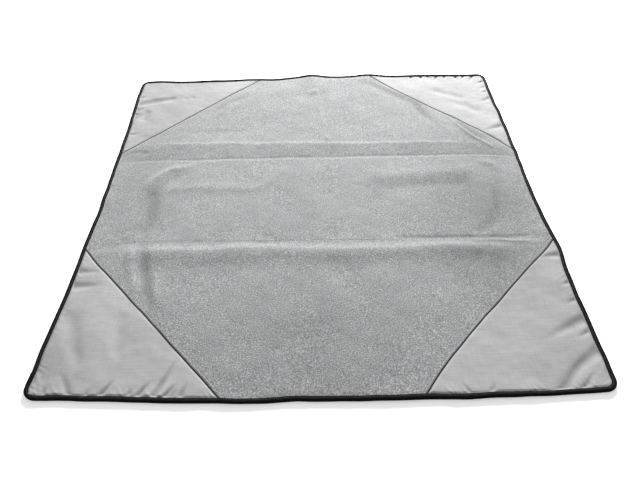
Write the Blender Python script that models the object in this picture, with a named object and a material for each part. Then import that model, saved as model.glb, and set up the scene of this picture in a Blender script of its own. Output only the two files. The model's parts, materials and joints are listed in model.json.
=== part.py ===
"""A folding padded ground mat, 1.2 m square, laid out flat.

Three padded panels (near, middle, far) hang together by two sewn folds that run from side to side.
The near panel folds up over the middle one, and the far panel folds down under it.
World frame: metres, +Z up, the origin at the centre of the underside, +X right, +Y to the far edge.
"""

import math

import bmesh
import bpy
from mathutils import Matrix, Vector

# --- outline -----------------------------------------------------------------------------------
SIDE = 1.200  # the square that the mat is cut to
HALF = SIDE / 2
CORNER_RADIUS = 0.028
NEAR_FOLD_Y = -0.182
FAR_FOLD_Y = 0.156
PATCH_LEG = 0.412  # the equal legs of each satin corner triangle
EDGE_BOW = 0.010  # how far the near and far edges belly outwards
BOW_START = 0.200  # the edges bow only beyond this distance from the X axis
LEFT_WAIST = 0.010  # how far the left edge is drawn in between the corners

# --- layers, as heights above the ground ---------------------------------------------------------
GAP = 0.0003  # clearance between touching pieces
BACKING = 0.0008
FOAM = 0.0070
FLEECE = 0.0020
SATIN = 0.0010
RIM_LIFT = 0.0013  # the underside of the backing where it enters the binding or a fold
FOAM_Z = BACKING + GAP
PAD_Z = FOAM_Z + FOAM + GAP  # underside of the fleece over the foam
PAD_TOP = PAD_Z + FLEECE
FLANGE_Z = RIM_LIFT + BACKING + GAP  # underside of the top fabrics at every seam
FLANGE_TOP = FLANGE_Z + FLEECE
FLAP_Z = BACKING + GAP  # underside of a corner patch away from its seams
FLAP_SLOPE = 0.018  # a corner patch runs down from its seams to that height over this distance

# --- binding tape --------------------------------------------------------------------------------
TAPE = 0.0010  # wall of the folded tape
TAPE_LEG = 0.0090  # how far the tape reaches in over the edge
LIP_Z = FLANGE_TOP + GAP  # underside of the tape's upper leg
LIP_TOP = LIP_Z + TAPE
BEAD_HEIGHT = 0.0080
BEAD_EASE = 0.0010  # the bead's outer corners are cut off by this much
BEAD_UPRIGHT = 0.0012  # half the upright part of its outside
BEAD_CREST = 0.0025  # its highest line, from the outer edge
BEAD_SHOULDER = 0.0042  # it starts to fall towards the leg here,
SHOULDER_DROP = 0.0006  # this far below its crest
LEG_BEND = 0.0062  # the upper leg is level from here inwards
FOOT = 0.0030  # the lower leg is level from here inwards
BEND_TURN = 0.0004  # the inside of a bend lies this much nearer the outer edge
LAP_LENGTH = 0.028  # the overlap where the tape's end meets its start
LAP_CENTRE_Y = -0.553
LAP_WALL = 0.0006
LAP_REACH = 0.0068  # how far the lapped end comes in over the tape's upper leg
LAP_SHIFT = 0.6 * LAP_WALL  # how far its outer skin is moved outwards for its wall

# --- seams and thread ----------------------------------------------------------------------------
WELT = 0.0024  # the narrow welt between fleece and satin
THREAD = 0.0008
THREAD_HEIGHT = 0.0005
FOLD_STITCH_OFFSET = 0.0030  # from the fold line into the middle panel
TOPSTITCH_OFFSET = 0.0050  # from the welt's middle into the fleece
EDGE_STITCH_INSET = 0.0075  # from the outer edge
LAYER_INSET = 0.0030  # the fabrics stop this far inside the binding's outer edge

# --- foam inserts --------------------------------------------------------------------------------
FOAM_RADIUS = 0.060
FOAM_SLOPE = 0.011  # the fleece runs down from foam height to its seam over this distance
FOAM_EASE = 0.003  # slack of the fleece round the foam
DIAGONAL_MARGIN = 0.024  # from the welt's middle to the foam's cut corner
NEAR_FOAM = {"half_width": 0.440, "fold_y": -0.206, "edge_y": -0.574}
FAR_FOAM = {"half_width": 0.440, "fold_y": 0.222, "edge_y": 0.574}
MIDDLE_FOAM = {"half_width": 0.450, "near_y": -0.160, "far_y": 0.132}

# --- fold hinges ---------------------------------------------------------------------------------
FOLD_CLEARANCE = 0.0006  # half the gap between two folded panels
NEAR_HINGE_Z = PAD_TOP + FOLD_CLEARANCE
FAR_HINGE_Z = -FOLD_CLEARANCE

CREASE_ANGLE = math.radians(50)  # edges sharper than this stay sharp when a piece is shaded
ARC_STEPS = 6
LEAST_RADIUS = 0.004  # of a rounded corner that has been moved in
EDGE_STEP = 0.100  # the longest straight piece of a bowed edge

FINISHES = {  # base colour (linear), roughness
    "fleece": ((0.38, 0.40, 0.39), 0.95),
    "satin": ((0.52, 0.54, 0.54), 0.55),
    "binding": ((0.012, 0.012, 0.012), 0.50),
    "welt": ((0.10, 0.11, 0.11), 0.80),
    "thread": ((0.30, 0.31, 0.31), 0.60),
    "black_thread": ((0.015, 0.015, 0.015), 0.55),
    "backing": ((0.16, 0.17, 0.18), 0.60),
    "foam": ((0.80, 0.80, 0.77), 0.90),
}


def clear_scene():
    for obj in list(bpy.data.objects):
        bpy.data.objects.remove(obj, do_unlink=True)


def material(name):
    """The shared material of one kind of piece."""
    if name in bpy.data.materials:
        return bpy.data.materials[name]
    made = bpy.data.materials.new(name)
    made.use_nodes = True
    colour, roughness = FINISHES[name]
    shader = made.node_tree.nodes["Principled BSDF"]
    shader.inputs["Base Color"].default_value = (*colour, 1.0)
    shader.inputs["Roughness"].default_value = roughness
    shader.inputs["Metallic"].default_value = 0.0
    return made


# --- plane geometry ------------------------------------------------------------------------------


def bowed(x, y):
    """Moves a point of the plain square to where it lies on the slightly bowed mat."""
    beyond = max(0.0, (abs(y) - BOW_START) / (HALF - BOW_START))
    bow = EDGE_BOW * math.cos(math.pi * x / SIDE) * beyond**2
    waist = LEFT_WAIST * math.cos(math.pi * y / SIDE) * (min(x, 0.0) / HALF) ** 2
    return x + waist, y + math.copysign(bow, y)


def line_through(start, end, distance):
    """A point on, and the direction of, the line start-end moved to its left by distance."""
    along = (Vector(end) - Vector(start)).normalized()
    return Vector(start) + Vector((-along.y, along.x)) * distance, along


def crossing(first, second):
    """The point where two lines, each (point, direction), meet."""
    (p, u), (q, v) = first, second
    across = u.x * v.y - u.y * v.x
    along = ((q - p).x * v.y - (q - p).y * v.x) / across
    return p + u * along


def inset(corners, distances):
    """A convex anticlockwise polygon with each edge i (corner i to i + 1) moved in by distances[i]."""
    count = len(corners)
    lines = [line_through(corners[i], corners[(i + 1) % count], distances[i]) for i in range(count)]
    return [crossing(lines[i - 1], lines[i]) for i in range(count)]


def rounded(corners, radii):
    """The polygon with an arc of radii[i] at corner i. A radius of 0 keeps the corner sharp."""
    outline = []
    count = len(corners)
    for i, radius in enumerate(radii):
        corner = Vector(corners[i])
        if radius == 0:
            outline.append(corner)
            continue
        before = (Vector(corners[i - 1]) - corner).normalized()
        after = (Vector(corners[(i + 1) % count]) - corner).normalized()
        half_angle = before.angle(after) / 2
        centre = corner + (before + after).normalized() * (radius / math.sin(half_angle))
        first = corner + before * (radius / math.tan(half_angle)) - centre
        turn = math.pi - 2 * half_angle
        for step in range(ARC_STEPS + 1):
            outline.append(centre + Matrix.Rotation(turn * step / ARC_STEPS, 2) @ first)
    return outline


def divided_alike(outlines, longest=EDGE_STEP):
    """Outlines with equal point counts, each stretch cut into as many pieces as the first one needs."""
    first = outlines[0]
    pieces = [max(1, math.ceil((first[i - 1] - first[i]).length / longest)) for i in range(len(first))]
    steps = [(i, k / pieces[i]) for i in range(len(first)) for k in range(pieces[i])]
    return [[outline[i - 1].lerp(outline[i], share) for i, share in steps] for outline in outlines]


def reach(outline, centre, direction):
    """The distance from centre to a convex outline along a unit direction."""
    farthest = 0.0
    for i, start in enumerate(outline):
        end = outline[(i + 1) % len(outline)]
        side = end - start
        across = direction.x * side.y - direction.y * side.x
        if abs(across) < 1e-12:
            continue
        to_start = start - centre
        distance = (to_start.x * side.y - to_start.y * side.x) / across
        along = (to_start.x * direction.y - to_start.y * direction.x) / across
        if distance > 0 and -1e-9 <= along <= 1 + 1e-9:
            farthest = max(farthest, distance)
    return farthest


# --- solids --------------------------------------------------------------------------------------


def finish_object(name, mesh_maker, finish, parent=None):
    """Turns a bmesh into a named object whose material is finish."""
    bmesh.ops.recalc_face_normals(mesh_maker, faces=mesh_maker.faces)
    mesh = bpy.data.meshes.new(name)
    mesh_maker.to_mesh(mesh)
    mesh_maker.free()
    mesh.shade_smooth()
    mesh.set_sharp_from_angle(angle=CREASE_ANGLE)
    mesh.materials.append(material(finish))
    obj = bpy.data.objects.new(name, mesh)
    bpy.context.scene.collection.objects.link(obj)
    if parent:
        mesh.transform(parent.matrix_world.inverted())
        obj.parent = parent
    return obj


def on_common_rays(outlines):
    """Convex outlines given equal point counts, by rays from the middle through every point of each."""
    rim, *inner = outlines
    (rim,) = divided_alike([rim])
    centre = sum(rim, Vector((0, 0))) / len(rim)
    points = rim + [point for outline in inner for point in outline]
    angles = sorted({round(math.atan2(*(point - centre).yx), 5) for point in points})
    ways = [Vector((math.cos(angle), math.sin(angle))) for angle in angles]
    return [[centre + way * reach(outline, centre, way) for way in ways] for outline in [rim, *inner]]


def shell(name, outlines, heights, finish, parent=None):
    """A closed solid between two stepped surfaces.

    The outlines have equal point counts and run from the rim inwards, each with its (low, high)
    pair in heights. The first gives the rim's wall, and the last is filled flat above and below.
    """
    made = bmesh.new()
    loops = {"low": [], "high": []}
    for outline, (low, high) in zip(outlines, heights):
        for side, height in (("low", low), ("high", high)):
            loops[side].append([made.verts.new((*bowed(*point), height)) for point in outline])

    def band(first, second):
        for i in range(len(first)):
            made.faces.new((first[i - 1], first[i], second[i], second[i - 1]))

    band(loops["low"][0], loops["high"][0])
    for side in ("low", "high"):
        for outer, inward in zip(loops[side], loops[side][1:]):
            band(outer, inward)
        made.faces.new(loops[side][-1])
    return finish_object(name, made, finish, parent)


def strip(name, start, end, width, low, high, finish, parent=None):
    """A narrow bar along start-end, divided where the mat's edges bow."""
    start, end = Vector(start), Vector(end)
    along = (end - start).normalized()
    side = Vector((-along.y, along.x)) * (width / 2)
    pieces = max(2, math.ceil((end - start).length / EDGE_STEP))
    made = bmesh.new()
    rings = []
    for k in range(pieces + 1):
        middle = start.lerp(end, k / pieces)
        ring = [(middle - side, low), (middle + side, low), (middle + side, high), (middle - side, high)]
        rings.append([made.verts.new((*bowed(*point), height)) for point, height in ring])
    join_rings(made, rings)
    return finish_object(name, made, finish, parent)


def join_rings(made, rings):
    """Closes a row of equal rings into one tube with both ends filled."""
    for first, second in zip(rings, rings[1:]):
        for i in range(len(first)):
            j = (i + 1) % len(first)
            made.faces.new((first[i], first[j], second[j], second[i]))
    made.faces.new(rings[0])
    made.faces.new(rings[-1])


def swept(name, route, profile, finish, parent=None):
    """Sweeps profile, points (inwards, up), along a route of (point, inward direction)."""
    made = bmesh.new()
    rings = []
    for point, inward in route:
        ring = [(point + inward * inset_by, height) for inset_by, height in profile]
        rings.append([made.verts.new((*bowed(*flat), height)) for flat, height in ring])
    join_rings(made, rings)
    return finish_object(name, made, finish, parent)


# --- the mat's pieces ----------------------------------------------------------------------------


def hinge_empty(name, fold_y, height):
    empty = bpy.data.objects.new(name, None)
    empty.location = (0.0, fold_y, height)
    bpy.context.scene.collection.objects.link(empty)
    bpy.context.view_layer.update()
    return empty


def end_panel(sign):
    """Corners of an end panel, with its edges' kinds: sign is -1 for near, +1 for far.

    The list runs anticlockwise from the fold's end that comes first in that direction.
    """
    fold = NEAR_FOLD_Y if sign < 0 else FAR_FOLD_Y
    first, second = -sign * HALF, sign * HALF
    corners = [(first, sign * HALF), (first, fold), (second, fold), (second, sign * HALF)]
    return corners, ["edge", "fold", "edge", "edge"]


def fleece_outline(sign):
    """The end panel with both corners cut off along the welts."""
    cut = HALF - PATCH_LEG
    fold = NEAR_FOLD_Y if sign < 0 else FAR_FOLD_Y
    corners = [
        (-sign * cut, sign * HALF),
        (-sign * HALF, sign * cut),
        (-sign * HALF, fold),
        (sign * HALF, fold),
        (sign * HALF, sign * cut),
        (sign * cut, sign * HALF),
    ]
    return corners, ["welt", "edge", "fold", "edge", "welt", "edge"]


def middle_panel():
    corners = [(-HALF, NEAR_FOLD_Y), (HALF, NEAR_FOLD_Y), (HALF, FAR_FOLD_Y), (-HALF, FAR_FOLD_Y)]
    return corners, ["fold", "edge", "fold", "edge"]


def trimmed(corners, kinds, radius=0.0, round_corners=()):
    """The cloth outline inside a panel: each edge is moved in by what its kind takes."""
    takes = {"edge": LAYER_INSET, "fold": GAP / 2, "welt": WELT / 2 + GAP}
    outline = inset(corners, [takes[kind] for kind in kinds])
    return rounded(outline, [radius if i in round_corners else 0 for i in range(len(outline))])


def grown(corners, distance, radius):
    """The rounded foam outline, grown by distance."""
    return rounded(inset(corners, [-distance] * len(corners)), [radius + distance] * len(corners))


def foam_corners(sign):
    """The plain hexagon of an end panel's foam: two of its corners are cut along the welts."""
    size = NEAR_FOAM if sign < 0 else FAR_FOAM
    diagonal = SIDE - PATCH_LEG - DIAGONAL_MARGIN * math.sqrt(2)  # |x| + |y| on the cut
    half_width, fold_y, edge_y = size["half_width"], abs(size["fold_y"]), abs(size["edge_y"])
    return [
        (-sign * (diagonal - edge_y), sign * edge_y),
        (-sign * half_width, sign * (diagonal - half_width)),
        (-sign * half_width, sign * fold_y),
        (sign * half_width, sign * fold_y),
        (sign * half_width, sign * (diagonal - half_width)),
        (sign * (diagonal - edge_y), sign * edge_y),
    ]


def middle_foam_corners():
    wide, near_y, far_y = (MIDDLE_FOAM[key] for key in ("half_width", "near_y", "far_y"))
    return [(-wide, near_y), (wide, near_y), (wide, far_y), (-wide, far_y)]


def lifted_rims(corners, kinds, slope, round_corners):
    """Three matched outlines of a cloth: its rim, the end of its flat flange and the foot of its slope."""
    rims = []
    for extra in (0.0, TAPE_LEG, TAPE_LEG + slope):
        moved = inset(corners, [extra] * len(corners))
        radius = max(CORNER_RADIUS - LAYER_INSET - extra, LEAST_RADIUS)
        rims.append(trimmed(moved, kinds, radius, round_corners))
    return divided_alike(rims)


def padded_layers(panel, panel_outline, fleece, foam, parent):
    """The backing, the foam insert and the fleece top of one panel."""
    corners, kinds = panel_outline
    round_corners = [i for i, (x, y) in enumerate(corners) if abs(y) == HALF]
    rims = lifted_rims(corners, kinds, FOAM_SLOPE, round_corners)
    lifted = (RIM_LIFT, RIM_LIFT + BACKING)
    shell(f"backing_{panel}", rims, [lifted, lifted, (0.0, BACKING)], "backing", parent)
    block = [grown(foam, 0.0, FOAM_RADIUS)]
    shell(f"foam_insert_{panel}", block, [(FOAM_Z, FOAM_Z + FOAM)], "foam", parent)
    outlines = [
        trimmed(*fleece),
        grown(foam, FOAM_EASE + FOAM_SLOPE, FOAM_RADIUS),
        grown(foam, FOAM_EASE, FOAM_RADIUS),
    ]
    flange = (FLANGE_Z, FLANGE_TOP)
    heights = [flange, flange, (PAD_Z, PAD_TOP)]
    shell(f"top_fleece_{panel}", on_common_rays(outlines), heights, "fleece", parent)


def corner_pieces(panel, side, parent):
    """A satin corner patch, the welt along its long side and the fleece's topstitch beside it."""
    sx = -1 if side == "left" else 1
    sy = -1 if panel == "near" else 1
    name = f"{panel}_{side}"
    cut = HALF - PATCH_LEG
    corners = [(sx * HALF, sy * HALF), (sx * cut, sy * HALF), (sx * HALF, sy * cut)]
    kinds = ["edge", "welt", "edge"]
    if sx * sy < 0:
        corners = [corners[0], corners[2], corners[1]]
    rims = lifted_rims(corners, kinds, FLAP_SLOPE, [0])
    lifted = (FLANGE_Z, FLANGE_Z + SATIN)
    shell(f"corner_patch_{name}", rims, [lifted, lifted, (FLAP_Z, FLAP_Z + SATIN)], "satin", parent)

    def along_welt(offset, inward):
        """The line beside the welt, moved by offset towards the fleece and cut short at the tape."""
        total = SIDE - PATCH_LEG - offset * math.sqrt(2)
        limit = HALF - inward
        return (sx * limit, sy * (total - limit)), (sx * (total - limit), sy * limit)

    ends = along_welt(0.0, TAPE_LEG + GAP)
    strip(f"corner_welt_{name}", *ends, WELT, FLANGE_Z, FLANGE_TOP + GAP, "welt", parent)
    ends = along_welt(TOPSTITCH_OFFSET, TAPE_LEG + 2 * GAP)
    low = FLANGE_TOP + GAP
    strip(f"corner_topstitch_{name}", *ends, THREAD, low, low + THREAD_HEIGHT, "thread", parent)


def tape_profile():
    """The folded tape: a round bead outside, with two legs that grip the layers' edges."""
    middle = BEAD_HEIGHT / 2
    ceiling = BEAD_HEIGHT - SHOULDER_DROP - TAPE
    outer = [
        (TAPE_LEG, 0.0),
        (FOOT, 0.0),
        (BEAD_EASE, BEAD_EASE),
        (0.0, middle - BEAD_UPRIGHT),
        (0.0, middle + BEAD_UPRIGHT),
        (BEAD_EASE, BEAD_HEIGHT - BEAD_EASE),
        (BEAD_CREST, BEAD_HEIGHT),
        (BEAD_SHOULDER, BEAD_HEIGHT - SHOULDER_DROP),
        (LEG_BEND, LIP_TOP),
        (TAPE_LEG, LIP_TOP),
    ]
    inner = [
        (TAPE_LEG, LIP_Z),
        (LEG_BEND - BEND_TURN, LIP_Z),
        (BEAD_SHOULDER - BEND_TURN, ceiling),
        (BEAD_CREST - BEND_TURN, ceiling),
        (TAPE, middle),
        (FOOT - BEND_TURN, TAPE),
        (TAPE_LEG, TAPE),
    ]
    return outer + inner


def thread_profile():
    low = LIP_TOP + GAP
    near, far = EDGE_STITCH_INSET - THREAD / 2, EDGE_STITCH_INSET + THREAD / 2
    return [(near, low), (far, low), (far, low + THREAD_HEIGHT), (near, low + THREAD_HEIGHT)]


def side_route(sx, y_from, y_to):
    """A straight run of the left or right edge."""
    pieces = max(1, math.ceil(abs(y_to - y_from) / EDGE_STEP))
    inward = Vector((-sx, 0))
    return [(Vector((sx * HALF, y_from + (y_to - y_from) * k / pieces)), inward) for k in range(pieces + 1)]


def end_route(sy):
    """The U round an end panel: down the left side, round both corners and up the right side."""
    fold = (NEAR_FOLD_Y if sy < 0 else FAR_FOLD_Y) + sy * GAP / 2
    straight = HALF - CORNER_RADIUS
    route = side_route(-1, fold, sy * straight)
    for sx in (-1, 1):
        centre = Vector((sx * straight, sy * straight))
        for step in range(1, ARC_STEPS + 2):
            turn = math.pi / 2 * step / (ARC_STEPS + 1)
            turn = turn if sx < 0 else math.pi / 2 - turn
            outward = Vector((sx * math.cos(turn), sy * math.sin(turn)))
            if sx > 0 and step == ARC_STEPS + 1:
                continue
            route.append((centre + outward * CORNER_RADIUS, -outward))
        if sx < 0:
            pieces = math.ceil(2 * straight / EDGE_STEP)
            for k in range(1, pieces + 1):
                x = -straight + 2 * straight * k / pieces
                route.append((Vector((x, sy * HALF)), Vector((0, -sy))))
    return route + side_route(1, sy * straight, fold)


def binding_pieces(near, far):
    """The black tape all round, parted at the folds, with its row of stitches and its lapped end."""
    middle_ends = (NEAR_FOLD_Y + GAP / 2, FAR_FOLD_Y - GAP / 2)
    runs = [
        ("near", end_route(-1), near),
        ("far", end_route(1), far),
        ("middle_left", side_route(-1, *middle_ends), None),
        ("middle_right", side_route(1, *middle_ends), None),
    ]
    for place, route, parent in runs:
        swept(f"edge_binding_{place}", route, tape_profile(), "binding", parent)
        swept(f"edge_stitch_{place}", route, thread_profile(), "black_thread", parent)
    lap_ends = (LAP_CENTRE_Y - LAP_LENGTH / 2, LAP_CENTRE_Y + LAP_LENGTH / 2)
    swept("binding_end_lap", side_route(-1, *lap_ends), lap_profile(), "binding", near)


def lap_profile():
    """The tape's end, which lies over the bead's outer and upper sides."""
    inside = [
        (-GAP, BEAD_EASE),
        (-GAP, BEAD_HEIGHT - 2 * BEAD_EASE),
        (BEAD_EASE - GAP, BEAD_HEIGHT - BEAD_EASE + 2 * GAP),
        (BEAD_CREST, BEAD_HEIGHT + GAP),
        (BEAD_SHOULDER + BEND_TURN, BEAD_HEIGHT - SHOULDER_DROP + GAP),
        (LEG_BEND + GAP, LIP_TOP + GAP),
        (LAP_REACH, LIP_TOP + GAP),
    ]
    outside = [(across - LAP_SHIFT, up + LAP_WALL) for across, up in reversed(inside[1:])]
    return inside + outside + [(-GAP - LAP_WALL, BEAD_EASE)]


def fold_stitch(name, y):
    """One line of stitching on the middle panel's side of a fold."""
    reach_x = HALF - TAPE_LEG - 2 * GAP
    low = FLANGE_TOP + GAP
    strip(name, (-reach_x, y), (reach_x, y), THREAD, low, low + THREAD_HEIGHT, "thread")


def build():
    clear_scene()
    near = hinge_empty("near_fold_axis", NEAR_FOLD_Y, NEAR_HINGE_Z)
    far = hinge_empty("far_fold_axis", FAR_FOLD_Y, FAR_HINGE_Z)
    padded_layers("near", end_panel(-1), fleece_outline(-1), foam_corners(-1), near)
    padded_layers("far", end_panel(1), fleece_outline(1), foam_corners(1), far)
    padded_layers("middle", middle_panel(), middle_panel(), middle_foam_corners(), None)
    for panel, parent in (("near", near), ("far", far)):
        for side in ("left", "right"):
            corner_pieces(panel, side, parent)
    binding_pieces(near, far)
    fold_stitch("fold_stitch_near", NEAR_FOLD_Y + FOLD_STITCH_OFFSET)
    fold_stitch("fold_stitch_far", FAR_FOLD_Y - FOLD_STITCH_OFFSET)


build()
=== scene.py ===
"""The looks of a folding padded ground mat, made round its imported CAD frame.

Every piece is laid out in the plain square that the mat is cut from, as (x, y), and then placed by
lay_out(), which bows the edges a little, and by height functions, which say how high the cloth lies.
Neighbouring pieces share those functions, so that they meet. Metres, +Z up.
"""

import json
import math

import bpy
import numpy as np
from mathutils import Matrix, Vector


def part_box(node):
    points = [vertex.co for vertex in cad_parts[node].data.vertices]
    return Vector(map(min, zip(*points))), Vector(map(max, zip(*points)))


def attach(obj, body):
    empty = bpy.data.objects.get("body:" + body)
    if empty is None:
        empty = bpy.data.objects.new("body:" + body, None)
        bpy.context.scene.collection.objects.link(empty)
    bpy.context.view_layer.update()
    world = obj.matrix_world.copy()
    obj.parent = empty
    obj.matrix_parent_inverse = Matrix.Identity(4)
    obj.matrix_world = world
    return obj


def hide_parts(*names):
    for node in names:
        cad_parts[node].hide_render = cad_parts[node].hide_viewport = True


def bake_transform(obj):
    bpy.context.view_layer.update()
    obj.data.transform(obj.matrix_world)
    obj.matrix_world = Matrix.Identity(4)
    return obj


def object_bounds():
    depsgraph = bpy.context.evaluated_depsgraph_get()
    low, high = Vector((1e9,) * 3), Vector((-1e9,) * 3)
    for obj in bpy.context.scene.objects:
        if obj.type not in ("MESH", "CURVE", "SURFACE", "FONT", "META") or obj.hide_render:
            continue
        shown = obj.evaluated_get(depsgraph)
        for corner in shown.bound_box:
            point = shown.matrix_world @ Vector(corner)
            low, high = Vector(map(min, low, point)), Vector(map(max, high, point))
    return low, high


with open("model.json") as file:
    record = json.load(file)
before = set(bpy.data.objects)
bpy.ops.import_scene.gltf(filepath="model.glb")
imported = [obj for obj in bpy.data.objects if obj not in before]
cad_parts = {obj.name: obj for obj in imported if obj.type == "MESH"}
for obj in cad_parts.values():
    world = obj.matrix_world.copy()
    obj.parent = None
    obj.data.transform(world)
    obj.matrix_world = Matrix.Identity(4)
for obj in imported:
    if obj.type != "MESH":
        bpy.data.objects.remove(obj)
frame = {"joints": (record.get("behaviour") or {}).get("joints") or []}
cad_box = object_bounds()

# --- sizes from the frame ----------------------------------
HALF = cad_box[1].x
SIDE = 2 * HALF
EDGE_BOW = cad_box[1].y - HALF
BOW_START = 0.200
LEFT_WAIST = 0.010
PATCH_LEG = 0.412  # the corner triangles' legs
SEAM_SUM = SIDE - PATCH_LEG  # |x| + |y| along the diagonal seams
CORNER_RADIUS = 0.028

FOLDS = {joint["name"]: joint["pos_m"][1] for joint in frame["joints"]}
NEAR_FOLD = FOLDS["near_fold"]
FAR_FOLD = FOLDS["far_fold"]
JOIN_REACH = 0.018  # the middle panel's pieces meet the outer panels' this far from the fold
NEAR_JOIN = NEAR_FOLD + JOIN_REACH
FAR_JOIN = FAR_FOLD - JOIN_REACH

BEAD_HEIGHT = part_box("edge_binding_far")[1].z + 0.0012  # cloth is fuller than its CAD section
GAP = 0.0003
FLEECE = 0.0020
SATIN = 0.0010
BACKING = 0.0008
RIM_LIFT = 0.0013  # the backing's underside inside the tape and at the folds
LAYER_INSET = 0.003
TAPE = 0.0010
TAPE_LEG = 0.0106
TAPE_WAIST = 0.0042  # the tape's bead is roundest here, measured inwards
TAPE_WAVE = 0.00025
LAP_WALL = 0.0006
WELT_HALF = 0.0015
WELT_RISE = 0.0009
SEAM_CLEAR = 0.0027  # from the diagonal seam's line to the cloth, in |x| + |y|

# --- the soft relief, in the plain square ------------------
RIM_TOP = 0.0060  # the cloth's upper face at the tape's lip and along the diagonal seams
NEAR_LEVEL = 0.0080  # the padded cloth of each panel
MIDDLE_LEVEL = 0.0078
FAR_LEVEL = 0.0104
FAR_FOLD_LEVEL = 0.0056
RIM_PINCH = 0.30  # the share of the rise from the rim that comes at once
RIM_RISE = 0.085  # the rest comes over this distance

NEAR_ROLL_Y = -0.213
NEAR_ROLL = 0.0060
FAR_CREST_Y = 0.221
FAR_CREST = 0.0126
FAR_SKEW = -0.030  # the far insert lies slightly askew

# Foam inserts: their outline, kept back from the folds and from the diagonal seams.
FOAMS = {
    "near": dict(half_width=0.440, low=-0.572, high=-0.209, diagonal=0.026),
    "middle": dict(half_width=0.450, low=-0.150, high=0.130, diagonal=None),
    "far": dict(half_width=0.440, low=0.200, high=0.572, diagonal=0.030),
}
FOAM_CORNER = 0.020
FOAM_EASE = 0.0018

STITCH_PITCH = 0.0038
STITCH_LIFT = 0.0001  # the thread's middle above the cloth
TAPE_STITCH_INSET = 0.0075
TOPSTITCH_OFFSET = 0.0046  # from the diagonal seam into the fleece
FOLD_ROW_OFFSET = 0.003  # the folds' stitches lie this far into the middle panel

# How far the folds' lines lie ahead of their hinges in the middle of the mat, and how far they tilt.
NEAR_FOLD_SHIFT = 0.003
NEAR_FOLD_TILT = 0.0105
FAR_FOLD_TILT = 0.003
FOLD_SHIFT_REACH = 0.07

# Where the far edge rises off the ground: centre, half width, height.
FAR_LIFTS = ((-0.005, 0.042, 0.0085), (0.19, 0.05, 0.0025))

# Long soft waves in the outer edges: side, centre, half width, how far outwards.
EDGE_WAVES = (
    ("near", 0.00, 1.20, 0.0025),
    ("near", -0.55, 0.22, -0.008),
    ("near", -0.02, 0.06, -0.002),
    ("near", 0.45, 0.22, 0.004),
    ("far", -0.57, 0.08, 0.004),
    ("far", -0.34, 0.12, -0.004),
    ("far", -0.14, 0.05, -0.006),
    ("far", 0.19, 0.05, 0.005),
    ("left", 0.50, 0.17, 0.005),
    ("left", -0.06, 0.10, -0.003),
    ("left", -0.31, 0.06, -0.003),
    ("right", 0.47, 0.12, -0.002),
    ("right", 0.00, 0.10, -0.004),
    ("right", -0.225, 0.045, 0.006),
    ("right", -0.56, 0.08, 0.003),
)

# The ends of the diagonal seams, where they aren't quite as drafted: place, shift.
SEAM_SHIFTS = (
    ((0.188, -0.600), (0.017, 0.000)),
    ((-0.600, -0.188), (0.000, 0.008)),
    ((0.600, -0.188), (0.000, 0.006)),
    ((-0.188, 0.600), (0.011, 0.000)),
    ((0.600, 0.188), (0.000, -0.022)),
)
SHIFT_REACH = 0.075
CLOTH_WANDER = 0.0005

# Soft folds and channels in the fleece: points along the line, height, half width.
CREASES = (
    # the middle panel's long wrinkle, and the one that joins its two halves
    (((-0.43, 0.03), (-0.3, 0.034), (-0.21, 0.024), (-0.12, 0.026)), 0.0022, 0.018),
    (((-0.16, 0.02), (-0.107, 0.078), (-0.085, 0.125)), 0.0014, 0.016),
    (((0.12, 0.062), (0.3, 0.068), (0.42, 0.08), (0.5, 0.092)), 0.0026, 0.024),
    (((0.18, 0.01), (0.32, 0.022), (0.46, 0.02)), -0.0014, 0.020),
    # round the middle insert's left corner
    (((-0.49, 0.02), (-0.47, 0.072), (-0.432, 0.112), (-0.35, 0.132)), 0.0028, 0.012),
    (((-0.456, -0.02), (-0.428, 0.055), (-0.37, 0.1)), -0.0024, 0.015),
    (((-0.458, 0.03), (-0.446, -0.09), (-0.452, -0.165)), -0.0036, 0.015),
    # round its right corner
    (((0.455, 0.13), (0.51, 0.112), (0.534, 0.07), (0.532, 0.005), (0.514, -0.05)), 0.0020, 0.013),
    (((0.494, 0.0), (0.476, -0.085), (0.44, -0.142), (0.39, -0.172)), -0.0024, 0.013),
    # the far panel's half-fold crease, its peak and its foot
    (((0.01, 0.55), (0.014, 0.42), (0.034, 0.28)), 0.0016, 0.007),
    (((0.028, 0.49), (0.032, 0.4), (0.046, 0.3)), -0.0012, 0.010),
    (((-0.012, 0.51), (0.004, 0.49)), 0.0036, 0.017),
    (((0.03, 0.258), (0.046, 0.232)), 0.0022, 0.010),
    # beside the far insert's right corner
    (((0.13, 0.57), (0.194, 0.54), (0.263, 0.485), (0.33, 0.43), (0.35, 0.36), (0.385, 0.306)),
     -0.0026, 0.015),
    (((0.425, 0.35), (0.456, 0.285), (0.486, 0.237), (0.535, 0.19)), 0.0036, 0.007),
    # beside its left corner
    (((-0.334, 0.39), (-0.283, 0.458), (-0.196, 0.498)), -0.0022, 0.014),
    (((-0.58, 0.19), (-0.537, 0.203), (-0.5, 0.186)), -0.0022, 0.010),
    (((-0.43, 0.296), (-0.294, 0.29), (-0.19, 0.288)), -0.0010, 0.014),
    # the channel beside the near insert's left edge, with the full cloth on both sides of it
    (((-0.44, -0.185), (-0.428, -0.26), (-0.404, -0.335), (-0.346, -0.428)), -0.0046, 0.014),
    (((-0.474, -0.185), (-0.456, -0.26), (-0.43, -0.335)), 0.0026, 0.012),
    (((-0.398, -0.26), (-0.372, -0.385), (-0.332, -0.445)), 0.0026, 0.011),
    # the dips along both folds
    (((0.18, -0.175), (0.4, -0.175), (0.57, -0.179)), -0.0018, 0.0065),
    (((-0.58, 0.16), (0.0, 0.16), (0.58, 0.16)), -0.0007, 0.0035),
    # the right end of the near roll
    (((0.375, -0.19), (0.453, -0.186), (0.508, -0.196), (0.567, -0.206)), 0.0020, 0.0065),
)

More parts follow.
